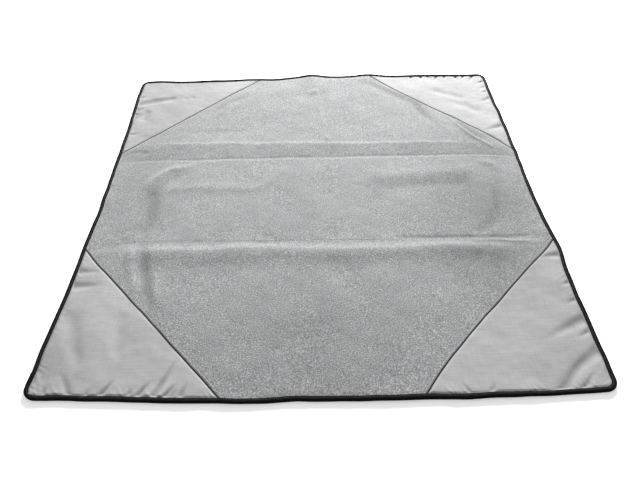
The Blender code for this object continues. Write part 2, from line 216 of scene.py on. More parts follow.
# Short gathers that start at the tape of each side and run inwards: place along the side, lean, length,
# height, half width.
GATHERS = {
    "near": (
        (-0.333, 0.42, 0.095, -0.006, 0.0052),
        (-0.318, 0.42, 0.07, 0.002, 0.006),
        (-0.366, 0.6, 0.042, -0.00575, 0.005),
        (-0.44, 0.52, 0.042, -0.0055, 0.005),
        (-0.31, 0.6, 0.036, -0.005, 0.0048),
        (-0.279, 0.3, 0.038, -0.00425, 0.005),
        (-0.296, 0.4, 0.024, -0.00275, 0.004),
        (-0.388, 0.5, 0.022, -0.00275, 0.004),
        (-0.47, 0.3, 0.02, -0.0025, 0.004),
        (-0.506, -0.6, 0.06, -0.00325, 0.009),
        (-0.56, 0.2, 0.03, -0.00275, 0.006),
        (0.3, -0.4, 0.022, -0.00225, 0.0045),
        (0.345, 0.5, 0.022, -0.0025, 0.0045),
        (0.487, 1.0, 0.09, -0.00425, 0.01),
        (0.53, 0.9, 0.04, -0.003, 0.007),
    ),
    "right": (
        (-0.43, -0.42, 0.12, -0.005, 0.012),
        (-0.508, -0.6, 0.12, -0.0045, 0.012),
        (-0.46, -0.5, 0.04, -0.00275, 0.006),
        (-0.378, -0.3, 0.03, -0.00275, 0.006),
        (-0.246, -0.1, 0.055, -0.00425, 0.009),
        (-0.33, -0.2, 0.03, -0.00225, 0.006),
        (0.298, -0.4, 0.07, -0.00425, 0.01),
        (0.45, -0.55, 0.05, -0.003, 0.008),
        (0.52, -0.5, 0.035, -0.00275, 0.006),
        (0.556, -0.6, 0.036, -0.00425, 0.0055),
        (0.49, -0.4, 0.03, -0.00375, 0.005),
    ),
    "left": (
        (-0.268, 0.05, 0.07, -0.00375, 0.01),
        (-0.309, 0.0, 0.085, -0.00375, 0.011),
        (0.46, 0.3, 0.15, -0.00525, 0.012),
        (0.42, 0.6, 0.04, -0.0035, 0.007),
        (0.375, 0.9, 0.04, -0.004, 0.008),
        (0.29, 0.2, 0.05, -0.0025, 0.008),
        (0.496, 0.5, 0.03, -0.00375, 0.005),
        (0.398, 0.2, 0.026, -0.0035, 0.005),
    ),
    "far": (
        (0.34, 0.2, 0.02, -0.00425, 0.0045),
        (0.376, -0.1, 0.026, -0.0045, 0.005),
        (0.4, 0.2, 0.018, -0.004, 0.004),
        (0.43, -0.3, 0.034, -0.00475, 0.0055),
        (0.46, -0.3, 0.024, -0.00425, 0.0045),
        (0.498, 0.1, 0.04, -0.005, 0.006),
        (0.524, -0.3, 0.03, -0.0045, 0.005),
        (0.556, -0.4, 0.046, -0.005, 0.006),
    ),
}

# Long soft folds across the corner patches: points, height, half width.
SATIN_FOLDS = (
    (((-0.57, -0.38), (-0.535, -0.47), (-0.5, -0.535)), -0.0034, 0.017),
    (((-0.45, -0.37), (-0.442, -0.455), (-0.42, -0.515)), -0.0020, 0.017),
    (((0.39, 0.51), (0.45, 0.48), (0.51, 0.444)), -0.0034, 0.016),
    (((0.45, 0.445), (0.5, 0.405), (0.545, 0.36)), -0.0032, 0.016),
    (((-0.55, 0.468), (-0.508, 0.48), (-0.46, 0.492)), -0.0034, 0.013),
    (((-0.562, 0.36), (-0.545, 0.425)), -0.0030, 0.012),
    (((-0.44, 0.482), (-0.4, 0.5)), -0.0020, 0.012),
)

# Patches where the cloth's colour is paler or darker: place, half widths, how much paler.
TONE_PATCHES = (
    ((0.47, -0.03), (0.17, 0.18), -0.32),
    ((0.42, -0.27), (0.13, 0.10), -0.20),
    ((0.00, 0.37), (0.45, 0.17), -0.07),
    ((0.53, -0.46), (0.10, 0.14), -0.09),
    # painted shade in the dip beside the far-left corner
    ((-0.55, 0.188), (0.07, 0.03), -0.14),
    ((0.50, 0.22), (0.10, 0.09), -0.20),
    ((-0.49, 0.03), (0.12, 0.15), -0.16),
    ((-0.50, 0.27), (0.10, 0.11), -0.14),
    ((0.02, -0.46), (0.22, 0.12), -0.12),
    ((0.00, 0.02), (0.22, 0.08), -0.07),
    ((-0.48, -0.36), (0.07, 0.08), 0.10),
    ((-0.56, -0.52), (0.06, 0.07), -0.14),
    ((-0.45, 0.48), (0.18, 0.14), -0.16),
    ((0.45, 0.48), (0.20, 0.16), -0.12),
)

# Painted shade and painted highlight along channels, crests and slopes: points, how much paler, half width.
PAINTED_SHADING_LINES = (
    (((-0.44, -0.18), (-0.428, -0.26), (-0.404, -0.335), (-0.346, -0.428)), -0.26, 0.015),
    (((-0.474, -0.185), (-0.456, -0.26), (-0.43, -0.335)), 0.20, 0.010),
    (((-0.398, -0.27), (-0.372, -0.385), (-0.332, -0.445)), 0.20, 0.009),
    (((-0.44, 0.075), (-0.452, 0.01), (-0.446, -0.09), (-0.452, -0.17)), -0.24, 0.020),
    (((-0.49, 0.02), (-0.472, 0.072), (-0.432, 0.112), (-0.35, 0.132)), 0.14, 0.010),
    (((0.14, 0.03), (0.3, 0.034), (0.46, 0.04)), -0.10, 0.024),
    (((-0.47, 0.232), (-0.2, 0.226), (0.1, 0.219), (0.36, 0.213)), 0.16, 0.006),
    (((0.512, 0.06), (0.505, 0.0), (0.48, -0.085), (0.444, -0.142), (0.4, -0.172)), -0.14, 0.013),
    (((0.13, 0.57), (0.194, 0.542), (0.263, 0.488), (0.335, 0.435), (0.354, 0.362), (0.42, 0.262)),
     -0.25, 0.017),
    (((0.446, 0.34), (0.474, 0.28), (0.52, 0.225)), -0.24, 0.011),
    (((-0.334, 0.392), (-0.283, 0.462), (-0.196, 0.502)), -0.12, 0.014),
    (((-0.43, 0.296), (-0.294, 0.29), (-0.19, 0.288)), -0.06, 0.014),
)

# Painted shade in the gathers' creases.
GATHER_PAINTED_SHADE = 36.0  # darker by this much for each metre of a gather's depth

PUCKER_PITCH = 0.0145
PUCKER_REACH = 0.010
FLEECE_PUCKER = 0.0007
SATIN_PUCKER = 0.0016


# --- numbers -----------------------------------------------


def smooth(t):
    """0 below 0, 1 above 1, and a soft step between."""
    t = np.clip(t, 0, 1)
    return t * t * (3 - 2 * t)


def bump(distance, width):
    return np.exp(-((distance / width) ** 2))


def zipped(*values):
    """Numbers, or arrays of them, set side by side along a new last axis: as points, or as faces."""
    return np.stack(np.broadcast_arrays(*values), axis=-1)


def no_lower(height, lowest, softness=0.0005):
    """The height, held softly above the lowest that the layers below allow."""
    return lowest + np.logaddexp(0, (height - lowest) / softness) * softness


def ripples(x, y, shortest, longest, seed, count=28):
    """A smooth random surface with a spread of about 1, made of waves between the two lengths."""
    random = np.random.default_rng(seed)
    lengths = shortest * (longest / shortest) ** random.random(count)
    turns = 2 * math.pi * random.random(count)
    phases = 2 * math.pi * random.random(count)
    total = np.zeros(np.broadcast(x, y).shape)
    for length, turn, phase in zip(lengths, turns, phases):
        along = x * math.cos(turn) + y * math.sin(turn)
        total += np.sin(2 * math.pi * along / length + phase)
    return total / math.sqrt(count / 2)


def ridge(x, y, path, height, width):
    """A ridge of that height along the path, fading out over its end quarters."""
    points = np.array(path)
    steps = np.diff(points, axis=0)
    lengths = np.hypot(steps[:, 0], steps[:, 1])
    starts = np.concatenate([[0], np.cumsum(lengths)])
    nearest = np.full(np.shape(x), np.inf)
    along = np.zeros(np.shape(x))
    for (px, py), (dx, dy), length, start in zip(points, steps, lengths, starts):
        share = ((x - px) * dx + (y - py) * dy) / length**2
        share = np.clip(share, 0, 1)
        away = np.hypot(x - px - share * dx, y - py - share * dy)
        closer = away < nearest
        nearest = np.where(closer, away, nearest)
        along = np.where(closer, start + share * length, along)
    ends = np.minimum(along, starts[-1] - along) / starts[-1]
    return height * bump(nearest, width) * smooth(ends / 0.3 + 0.15)


def gathers(x, y):
    """Ridges that start under the tape and fade out inwards."""
    total = 0
    for side, rows in GATHERS.items():
        sign = 1 if side in ("far", "right") else -1
        along, out = (x, sign * y) if side in ("near", "far") else (y, sign * x)
        inwards = HALF - TAPE_LEG - out
        for place, lean, length, height, width in rows:
            away = (along - place - lean * inwards) / math.hypot(1, lean)
            taper = 1 - 0.5 * np.clip(inwards / length, 0, 1)
            fade = (1 - smooth(inwards / length)) * (inwards > -0.01)
            total = total + height * bump(away / taper, width) * fade
    return total


# --- where the cloth lies ----------------------------------


def lay_out(x, y):
    """A point of the plain square, moved to where it lies on the mat."""
    beyond = np.clip((np.abs(y) - BOW_START) / (HALF - BOW_START), 0, None)
    across = x + LEFT_WAIST * np.cos(math.pi * y / SIDE) * (np.minimum(x, 0) / HALF) ** 2
    up = y + np.copysign(EDGE_BOW * np.cos(math.pi * x / SIDE) * beyond**2, y)
    for side, centre, width, outwards in EDGE_WAVES:
        sign = 1 if side in ("far", "right") else -1
        if side in ("near", "far"):
            up = up + sign * outwards * bump(x - centre, width) * smooth(sign * y / HALF) ** 2
        else:
            across = across + sign * outwards * bump(y - centre, width) * smooth(sign * x / HALF) ** 2
    inside = 1 - smooth((np.abs(x) - 0.46) / 0.10)
    near_shift = NEAR_FOLD_SHIFT - NEAR_FOLD_TILT * x / HALF
    up = up + near_shift * bump(y - NEAR_FOLD, FOLD_SHIFT_REACH) * inside
    up = up - FAR_FOLD_TILT * x / HALF * bump(y - FAR_FOLD, FOLD_SHIFT_REACH) * inside
    for (px, py), (aside, ahead) in SEAM_SHIFTS:
        share = bump(np.hypot(x - px, y - py), SHIFT_REACH)
        across = across + aside * share
        up = up + ahead * share
    aside, ahead = (CLOTH_WANDER * ripples(x, y, 0.06, 0.22, seed) for seed in (11, 12))
    return across + aside, up + ahead


def stack_lift(x, y):
    """How far the whole stack of cloth is off the ground."""
    far_edge = smooth((y - 0.47) / (HALF - 0.47))
    lift = 0
    for centre, width, height in FAR_LIFTS:
        lift = lift + height * bump(x - centre, width) * far_edge
    edge = smooth((np.maximum(np.abs(x), np.abs(y)) - 0.54) / 0.06)
    return lift + 0.0005 * edge * (1 + ripples(x, y, 0.05, 0.18, 21)).clip(0)


def seam_distance(x, y):
    """From the nearest of the seams that draw the cloth right down: the tape's lip or a diagonal."""
    lip = HALF - TAPE_LEG - np.maximum(np.abs(x), np.abs(y))
    diagonal = np.abs(np.abs(x) + np.abs(y) - SEAM_SUM) / math.sqrt(2) - WELT_HALF
    return np.maximum(np.minimum(lip, diagonal), 0)


def puckers(x, y):
    """Small gathers where the cloth goes under the tape, from 0 to about 1."""
    total = 0
    for along, other, seed in ((x, y, 31), (y, x, 32)):
        inwards = HALF - TAPE_LEG - np.abs(other)
        leaning = along + 0.6 * inwards + 0.004 * ripples(along, other * 0, 0.03, 0.12, seed)
        strength = 0.5 + 0.5 * ripples(along, np.sign(other), 0.04, 0.20, seed + 1)
        wave = (0.5 + 0.5 * np.sin(2 * math.pi * leaning / PUCKER_PITCH)) ** 2
        fade = np.exp(-np.clip(inwards, 0, None) / PUCKER_REACH)
        total = total + wave * np.clip(strength, 0.1, 1.4) * fade
    return total


def panel_levels(x, y):
    """The padded cloth from near to far: level panels, the near roll, and the far one's long slope."""
    wander = 0.0025 * ripples(x, 0, 0.15, 0.5, 41)
    ends = 1 - smooth((np.abs(x) - 0.40) / 0.10)
    roll_y = NEAR_ROLL_Y + wander
    roll_width = np.where(y > roll_y, 0.0165, 0.032)
    roll = NEAR_ROLL * bump(y - roll_y, roll_width) * (0.35 + 0.65 * ends)
    near = NEAR_LEVEL + roll
    past_near_fold = smooth((y - NEAR_FOLD + 0.014) / 0.014)
    height = near + (MIDDLE_LEVEL - near) * past_near_fold

    crest_y = FAR_CREST_Y + FAR_SKEW * x + 0.0018 * ripples(x, 0, 0.05, 0.20, 42)
    crest = FAR_LEVEL + (FAR_CREST - FAR_LEVEL) * (0.3 + 0.7 * ends)
    slope = FAR_FOLD_LEVEL + (crest - FAR_FOLD_LEVEL) * (y - FAR_FOLD) / (crest_y - FAR_FOLD)
    beyond = FAR_LEVEL + (crest - FAR_LEVEL) * np.exp(-np.clip(y - crest_y, 0, None) / 0.006)
    far = -0.0004 * np.logaddexp(-slope / 0.0004, -beyond / 0.0004)
    into_far_fold = smooth((FAR_FOLD - y) / 0.008)
    middle = FAR_FOLD_LEVEL + (MIDDLE_LEVEL - FAR_FOLD_LEVEL) * into_far_fold
    return np.where(y < FAR_FOLD - 0.010, height, np.where(y > FAR_FOLD, far, middle))


def fleece_top(x, y):
    """Height of the fleece's upper face."""
    away = seam_distance(x, y)
    height = panel_levels(x, y)
    for path, rise, width in CREASES:
        height = height + ridge(x, y, path, rise, width)
    height = height + 0.00055 * ripples(x, y, 0.10, 0.30, 51) + 0.00016 * ripples(x, y, 0.025, 0.06, 52)
    rise = RIM_PINCH * (1 - np.exp(-away / 0.004)) + (1 - RIM_PINCH) * np.sin(
        np.clip(away / RIM_RISE, 0, 1) * math.pi / 2
    )
    height = RIM_TOP + (height - RIM_TOP) * rise
    height = height + smooth(away / 0.004) * FLEECE_PUCKER * puckers(x, y)
    return no_lower(height, BACKING + FLEECE + 0.0014) + stack_lift(x, y)


def satin_top(x, y):
    """Height of a corner patch's upper face."""
    away = seam_distance(x, y)
    relaxed = RIM_TOP + 0.0010 + 0.00035 * ripples(x, y, 0.06, 0.20, 61)
    relaxed += 0.00010 * ripples(x, y, 0.02, 0.05, 62)
    for path, rise, width in SATIN_FOLDS:
        relaxed += ridge(x, y, path, rise, width)
    relaxed += gathers(x, y) + SATIN_PUCKER * puckers(x, y)
    relaxed = no_lower(relaxed, BACKING + SATIN + 0.0010)
    return RIM_TOP + (relaxed - RIM_TOP) * smooth(away / 0.005) + stack_lift(x, y)


def nap(x, y):
    """How pale the cloth is: patches of tone, painted shade and painted highlight along lines, painted shade
    in the gathers and beside the tape, and a faint random tone.
    """
    tone = np.ones(np.shape(x))
    for (px, py), (wide, deep), paler in TONE_PATCHES:
        tone = tone + paler * bump(np.hypot((x - px) / wide, (y - py) / deep), 1.0)
    for path, paler, width in PAINTED_SHADING_LINES:
        tone = tone + ridge(x, y, path, paler, width)
    # painted shade in the gathers' creases
    tone = tone + GATHER_PAINTED_SHADE * gathers(x, y)
    # painted shade on the corner patches beside the tape, fading inwards
    outside = np.abs(x) + np.abs(y) > SEAM_SUM
    lip = np.maximum(HALF - TAPE_LEG - np.maximum(np.abs(x), np.abs(y)), 0)
    tone = tone - 0.12 * outside * np.exp(-lip / 0.005)
    return tone + 0.02 * ripples(x, y, 0.05, 0.25, 81)


def backing_bottom(x, y):
    """Height of the backing's lower face: on the ground, and drawn up where it is sewn."""
    lip = HALF - np.maximum(np.abs(x), np.abs(y)) - TAPE_LEG
    near = np.abs(y - NEAR_FOLD)
    far = np.abs(y - FAR_FOLD)
    away = np.minimum.reduce([lip, near, far])
    return RIM_LIFT * (1 - smooth(away / 0.010)) + stack_lift(x, y)


# --- meshes ------------------------------------------------


def spaced(start, end, step, crowd=0.0):
    """Positions from start to end about a step apart, closer together towards both ends."""
    count = max(2, round(abs(end - start) / step))
    t = np.linspace(0, 1, count + 1)
    return start + (end - start) * (t - crowd * np.sin(2 * math.pi * t) / (2 * math.pi))


def mesh_object(name, points, faces, flat, finish, crease_angle=50):
    """An object from arrays, with each point's place on the flat cloth kept for the weave."""
    mesh = bpy.data.meshes.new(name)
    mesh.from_pydata(points.tolist(), [], faces)
    mesh.update()
    weave = mesh.attributes.new("flat", "FLOAT_VECTOR", "POINT")
    weave.data.foreach_set("vector", np.ascontiguousarray(flat, np.float32).ravel())
    mesh.shade_smooth()
    mesh.set_sharp_from_angle(angle=math.radians(crease_angle))
    mesh.materials.append(finish)
    made = bpy.data.objects.new(name, mesh)
    bpy.context.scene.collection.objects.link(made)
    return made


def closed_sheet(name, x, y, top, bottom, finish):
    """A closed sheet over a grid of plain (x, y), with rows from near to far."""
    across, up = lay_out(x, y)
    rows, columns = x.shape
    points, flat = (
        np.concatenate([zipped(*place, z).reshape(-1, 3) for z in (top, bottom)])
        for place in ((across, up), (x, y))
    )
    index = np.arange(rows * columns).reshape(rows, columns)
    quads = zipped(index[:-1, :-1], index[:-1, 1:], index[1:, 1:], index[1:, :-1]).reshape(-1, 4)
    below = quads[:, ::-1] + rows * columns
    loop = np.concatenate([index[0, :-1], index[:-1, -1], index[-1, :0:-1], index[:0:-1, 0]])
    after = np.roll(loop, -1)
    rim = zipped(loop, loop + rows * columns, after + rows * columns, after)
    faces = np.concatenate([quads, below, rim]).tolist()
    piece = mesh_object(name, points, faces, flat, finish)
    # the cloth's tone at each point, with its painted shade and painted highlight
    tone = piece.data.attributes.new("nap", "FLOAT", "POINT")
    tone.data.foreach_set("value", np.tile(nap(x, y).astype(np.float32).ravel(), 2))
    return piece


def panel_grid(low, high, columns, row_step):
    """A grid of plain points. low and high give the panel's near and far limits for each column."""
    t = spaced(0, 1, row_step / np.max(high - low), crowd=0.5)[:, None]
    x = np.broadcast_to(columns, (len(t), len(columns)))
    return x.copy(), low + (high - low) * t


def octagon_limit(x):
    """How far the fleece reaches from the X axis: to the tape, or to the diagonal seam."""
    return np.minimum(HALF - LAYER_INSET, SEAM_SUM - SEAM_CLEAR - np.abs(x))


def square_limit(x):
    """How far the backing reaches from the X axis, with round corners."""
    radius = CORNER_RADIUS - LAYER_INSET
    beyond = np.clip(np.abs(x) - (HALF - CORNER_RADIUS), 0, radius)
    return HALF - CORNER_RADIUS + np.sqrt(radius**2 - beyond**2)


def tube_faces(stations, ring):
    """The faces of a tube, with a ring of points at each station and a cap on both ends."""
    index = np.arange(stations * ring).reshape(stations, ring)
    following = np.roll(index, -1, axis=1)
    quads = zipped(index[:-1], index[1:], following[1:], following[:-1]).reshape(-1, 4)
    return quads.tolist() + [index[0].tolist(), index[-1, ::-1].tolist()]


def sweep(name, line, section, finish, wave=0.0):
    """A closed section, as (inwards, height) points, carried along a line in the plain square."""
    x, y, inwards, distance = line
    u, z = section[:, 0], section[:, 1]
    px = x[:, None] + inwards[:, :1] * u
    py = y[:, None] + inwards[:, 1:] * u
    across, up = lay_out(px, py)
    lift = stack_lift(px, py)
    if wave:
        top_side = smooth((z - 0.002) / 0.004) * smooth(u / TAPE_LEG)
        lift = lift + wave * top_side * ripples(distance, 0, 0.012, 0.05, 71)[:, None]
    points = zipped(across, up, z + lift)
    round_it = np.concatenate([[0], np.cumsum(np.hypot(np.diff(u), np.diff(z)))])
    flat = zipped(distance[:, None], round_it, 0 * px)
    faces = tube_faces(*px.shape)
    return mesh_object(name, points.reshape(-1, 3), faces, flat.reshape(-1, 3), finish, 65)


def line_of(points, normals):
    """A line for sweep() from plain points and the direction that is inwards at each."""
    steps = np.hypot(*np.diff(points, axis=0).T)
    distance = np.concatenate([[0], np.cumsum(steps)])
    return points[:, 0], points[:, 1], normals, distance


def edge_line(panel, step=0.004):
    """The outer edge of the near or far panel, anticlockwise, from fold to fold round two corners."""
    turn, join = (1, -NEAR_JOIN) if panel == "near" else (-1, FAR_JOIN)
    straight = HALF - CORNER_RADIUS
    side = spaced(join, straight, step)[:-1]
    middle = spaced(-straight, straight, step)[1:-1]
    corner = np.linspace(0, math.pi / 2, 13)
    left, down, right = np.full_like(side, math.pi), np.full_like(middle, 1.5 * math.pi), 0 * side
    angles = np.concatenate([left, math.pi + corner, down, 1.5 * math.pi + corner, right])
    outwards = zipped(np.cos(angles), np.sin(angles))
    x = np.pad(middle, len(side) + len(corner), constant_values=(-straight, straight))
    y = np.concatenate([-side, np.full(len(middle) + 2 * len(corner), -straight), -side[::-1]])
    points = zipped(x, y) + CORNER_RADIUS * outwards
    return line_of(points * turn, outwards * -turn)


def side_line(side, step=0.004):
    """The outer edge of the middle panel on one side, in the same sense."""
    sign = 1 if side == "right" else -1
    y = spaced(NEAR_JOIN, FAR_JOIN, step)[::sign]
    return line_of(zipped(sign * HALF, y), zipped(-float(sign), 0 * y))


def tape_section(wall=0.0):
    """The folded tape's section, anticlockwise. A wall above 0 gives the sleeve round it instead."""
    angles = np.radians(np.linspace(-90, 90, 15))[::-1]

    def leg(height_at_bead, height_at_lip):
        t = np.linspace(0, 1, 6)[1:]
        height = height_at_bead + (height_at_lip - height_at_bead) * smooth(t)
        return zipped(TAPE_WAIST + (TAPE_LEG - TAPE_WAIST) * t, height)

    def skin(offset):
        bead = zipped(
            TAPE_WAIST - (TAPE_WAIST + offset) * np.cos(angles),
            BEAD_HEIGHT / 2 + (BEAD_HEIGHT / 2 + offset) * np.sin(angles),
        )
        over = leg(BEAD_HEIGHT + offset, RIM_TOP + GAP + TAPE + offset)[::-1]
        under = leg(-offset, RIM_LIFT - GAP - TAPE - offset)
        return np.concatenate([over, bead, under])

    if wall:
        outer, inner = skin(wall + 0.0001), skin(0.0001)
    else:
        outer, inner = skin(0.0), skin(-TAPE)
    return np.concatenate([outer, inner[::-1]])


def stitches(name, runs, finish, length=0.0030, radius=0.00038):
    """Rows of sewn stitches. Each run is (plain points, plain directions, heights, side)."""
    around = np.linspace(0, 2 * math.pi, 6, endpoint=False)
    stations = np.array([-0.5, -0.36, 0.0, 0.36, 0.5])[:, None]
    radii = radius * np.array([0.45, 0.9, 1.0, 0.9, 0.45])[:, None]
    arch = -1.6 * radius * (2 * stations) ** 4
    template = zipped(stations * length, radii * np.cos(around), arch + radii * np.sin(around)).reshape(-1, 3)
    template_faces = tube_faces(len(stations), len(around))
    points, flats, faces = [], [], []
    base = 0
    for centres, directions, heights, side in runs:
        across, up = lay_out(*centres.T)
        ahead_x, ahead_y = lay_out(*(centres + 0.001 * directions).T)
        tangent = zipped(ahead_x - across, ahead_y - up)
        tangent /= np.linalg.norm(tangent, axis=1, keepdims=True)
        normal = zipped(-tangent[:, 1], tangent[:, 0])
        for k in range(len(centres)):
            body = template * (1, side, side)
            place = np.empty_like(body)
            place[:, :2] = (across[k], up[k]) + body[:, :1] * tangent[k] + body[:, 1:2] * normal[k]
            place[:, 2] = heights[k] + body[:, 2]
            points.append(place)
            flats.append(template + (k * STITCH_PITCH, 0, 0))
            faces += [[base + i for i in face] for face in template_faces]
            base += len(template)
    return mesh_object(name, np.concatenate(points), faces, np.concatenate(flats), finish, 80)


def along_line(start, end, pitch=STITCH_PITCH):
    """Evenly spaced plain points and directions from start to end, for stitches."""
    start, end = np.array(start, float), np.array(end, float)
    span = np.linalg.norm(end - start)
    count = max(2, int(span / pitch))
    shares = (np.arange(count) + 0.5) / count
    return start + shares[:, None] * (end - start), np.tile((end - start) / span, (count, 1))


# --- materials ---------------------------------------------


class Finish:
    """A material under construction: a Principled shader, with noise and waves laid on the flat cloth."""

    def __init__(self, name, **values):
        self.material = bpy.data.materials.new(name)
        self.material.use_nodes = True
        self.nodes = self.material.node_tree.nodes
        self.links = self.material.node_tree.links
        self.shader = self.nodes["Principled BSDF"]
        self.set(**values)
        self.flat = self.attribute("flat")
        self.normal = None

    def feed(self, socket, value):
        """Links another node's output to the socket, or sets a number, a vector or a colour on it."""
        if isinstance(value, bpy.types.NodeSocket):
            self.links.new(value, socket)
        elif socket.type == "RGBA":
            socket.default_value = (*value, 1)
        else:
            socket.default_value = value

    def set(self, **values):
        """Feeds the shader's own inputs."""
        for key, value in values.items():
            self.feed(self.shader.inputs[key.replace("_", " ")], value)

    def add(self, kind, **values):
        """A new node, with values fed to its inputs."""
        node = self.nodes.new("ShaderNode" + kind)
        for key, value in values.items():
            self.feed(node.inputs[key], value)
        return node

    def attribute(self, name):
        node = self.add("Attribute")
        node.attribute_name = name
        return node.outputs["Vector"]

    def nap(self, colour):
        """The colour, made paler or darker by the mesh's own tone, painted shade and painted highlight."""
        return self.mix(1.0, colour, self.attribute("nap"), "MULTIPLY")

    def noise(self, size, detail=2.0, rough=0.5, stretch=(1, 1, 1)):
        """Random blotches of about that size in metres, around 0.5."""
        place = self.add("Mapping", Scale=stretch, Vector=self.flat).outputs["Vector"]
        node = self.add("TexNoise", Scale=1 / size, Detail=detail, Roughness=rough, Vector=place)
        return node.outputs["Fac"]

    def cells(self, size):
        """The distance from the middles of random cells of about that size."""
        return self.add("TexVoronoi", Scale=1 / size, Vector=self.flat).outputs["Distance"]

    def lines(self, axis, pitch, wobble=0.0):
        """Threads across an axis of the flat cloth, from 0 between them to 1 on them."""
        scale = math.pi / 10 / pitch
        node = self.add("TexWave", Scale=scale, Distortion=wobble, Detail=1.0, Vector=self.flat)
        node.bands_direction = axis
        return node.outputs["Fac"]

    def math(self, operation, first, second):
        node = self.add("Math")
        node.operation = operation
        self.feed(node.inputs[0], first)
        self.feed(node.inputs[1], second)
        return node.outputs["Value"]

    def ramp(self, value, stops):
        """A colour ramp; stops are (position, linear colour)."""
        node = self.add("ValToRGB", Fac=value)
        elements = node.color_ramp.elements
        for element, (position, colour) in zip(elements, (stops[0], stops[-1])):
            element.position = position
            element.color = (*colour, 1)
        for position, colour in stops[1:-1]:
            elements.new(position).color = (*colour, 1)
        return node.outputs["Color"]

    def mix(self, share, first, second, kind="MIX"):
        node = self.add("Mix")
        node.data_type = "RGBA"
        node.blend_type = kind
        self.feed(node.inputs["Factor"], share)
        colours = [socket for socket in node.inputs if socket.type == "RGBA"]
        self.feed(colours[0], first)
        self.feed(colours[1], second)
        return next(socket for socket in node.outputs if socket.type == "RGBA")

    def relief(self, value, distance):
        """Adds bumps of that height in metres."""
        node = self.add("Bump", Height=value, Distance=distance, Strength=1.0)
        if self.normal is not None:
            self.links.new(self.normal, node.inputs["Normal"])
        self.normal = node.outputs["Normal"]
        self.set(Normal=self.normal)


def grey(value, warm=0.0):
    return (value * (1 + warm), value, value * (1 - warm))


def tinted(value):
    """The fleece's grey, very slightly green and blue."""
    return (value * 0.97, value, value * 0.995)


def fleece_finish():
    """Brushed mottled fleece: pale and dark fibres in small clumps under a soft pile."""
    made = Finish("fleece_melange", Roughness=0.95, Specular_IOR_Level=0.2)
    made.set(Sheen_Weight=0.25, Sheen_Roughness=0.55)
    clumps = made.noise(0.0028, detail=3.0, rough=0.72)
    fibres = made.noise(0.0009, rough=0.6, stretch=(1, 0.55, 1))
    mottle = made.math("ADD", made.math("MULTIPLY", clumps, 0.72), made.math("MULTIPLY", fibres, 0.28))
    speckle = made.ramp(
        mottle, [(0.39, tinted(0.092)), (0.5, tinted(0.182)), (0.59, tinted(0.300)), (0.645, tinted(0.46))]
    )
    brushed = made.noise(0.07)
    shade = made.ramp(brushed, [(0.30, (0.93, 0.93, 0.95)), (0.70, (1.0, 1.0, 0.99))])
    # the colour carries the mesh's painted shade and painted highlight
    made.set(Base_Color=made.nap(made.mix(1.0, speckle, shade, "MULTIPLY")))
    made.relief(clumps, 0.0006)
    made.relief(fibres, 0.0005)
    return made.material


def satin_finish():
    """Closely woven satin with faint slubs along both threads and a soft sheen."""
    made = Finish("satin_weave", Specular_IOR_Level=0.15)
    made.set(Sheen_Weight=0.04, Sheen_Roughness=0.4)
    slubs = made.noise(0.003, detail=3.0, rough=0.65, stretch=(0.07, 1.5, 1))
    picks = made.noise(0.004, detail=3.0, rough=0.65, stretch=(1.6, 0.09, 1))
    threads = made.math("ADD", made.math("MULTIPLY", slubs, 0.6), made.math("MULTIPLY", picks, 0.4))
    tone = made.ramp(threads, [(0.36, grey(0.250)), (0.5, grey(0.278)), (0.64, grey(0.302))])
    cloudy = made.ramp(made.noise(0.06), [(0.3, (0.95, 0.95, 0.96)), (0.7, (1.0, 1.0, 1.0))])
    # the colour carries the mesh's painted shade and painted highlight
    made.set(Base_Color=made.nap(made.mix(1.0, tone, cloudy, "MULTIPLY")))
    made.set(Roughness=made.ramp(threads, [(0.35, grey(0.76)), (0.65, grey(0.64))]))
    weave = made.math("MULTIPLY", made.lines("X", 0.0007, 0.4), made.lines("Y", 0.0007, 0.4))
    made.relief(weave, 0.00012)
    made.relief(threads, 0.00012)
    return made.material


def tape_finish():
    """Black ribbed tape, a little paler in random worn blotches."""
    made = Finish("black_tape", Specular_IOR_Level=0.04)
    ribs = made.lines("X", 0.0011, 0.6)
    worn = made.noise(0.008, detail=4.0, rough=0.7, stretch=(0.5, 1.6, 1))
    dusty = made.ramp(worn, [(0.42, grey(0.0028, 0.05)), (0.62, grey(0.0050, 0.10))])
    made.set(Base_Color=made.mix(made.math("MULTIPLY", ribs, 0.35), dusty, grey(0.0070, 0.08)))
    made.set(Roughness=made.ramp(worn, [(0.35, grey(0.85)), (0.65, grey(0.70))]))
    made.relief(ribs, 0.00025)
    made.relief(worn, 0.00020)
    return made.material


def thread_finish(name, dark, light):
    """Twisted sewing thread."""
    made = Finish(name, Roughness=0.5, Sheen_Weight=0.1, Specular_IOR_Level=0.4)
    plies = made.lines("DIAGONAL", 0.0005)
    made.set(Base_Color=made.ramp(plies, [(0.2, grey(dark)), (0.8, grey(light))]))
    made.relief(plies, 0.00010)
    return made.material


def welt_finish():
    """The narrow dark welt in the diagonal seams: a folded strip of coarse cloth."""
    made = Finish("welt_cloth", Roughness=0.85, Sheen_Weight=0.1, Specular_IOR_Level=0.25)
    grain = made.noise(0.0012)
    made.set(Base_Color=made.ramp(grain, [(0.35, grey(0.005)), (0.65, grey(0.014))]))
    made.relief(grain, 0.0003)
    return made.material


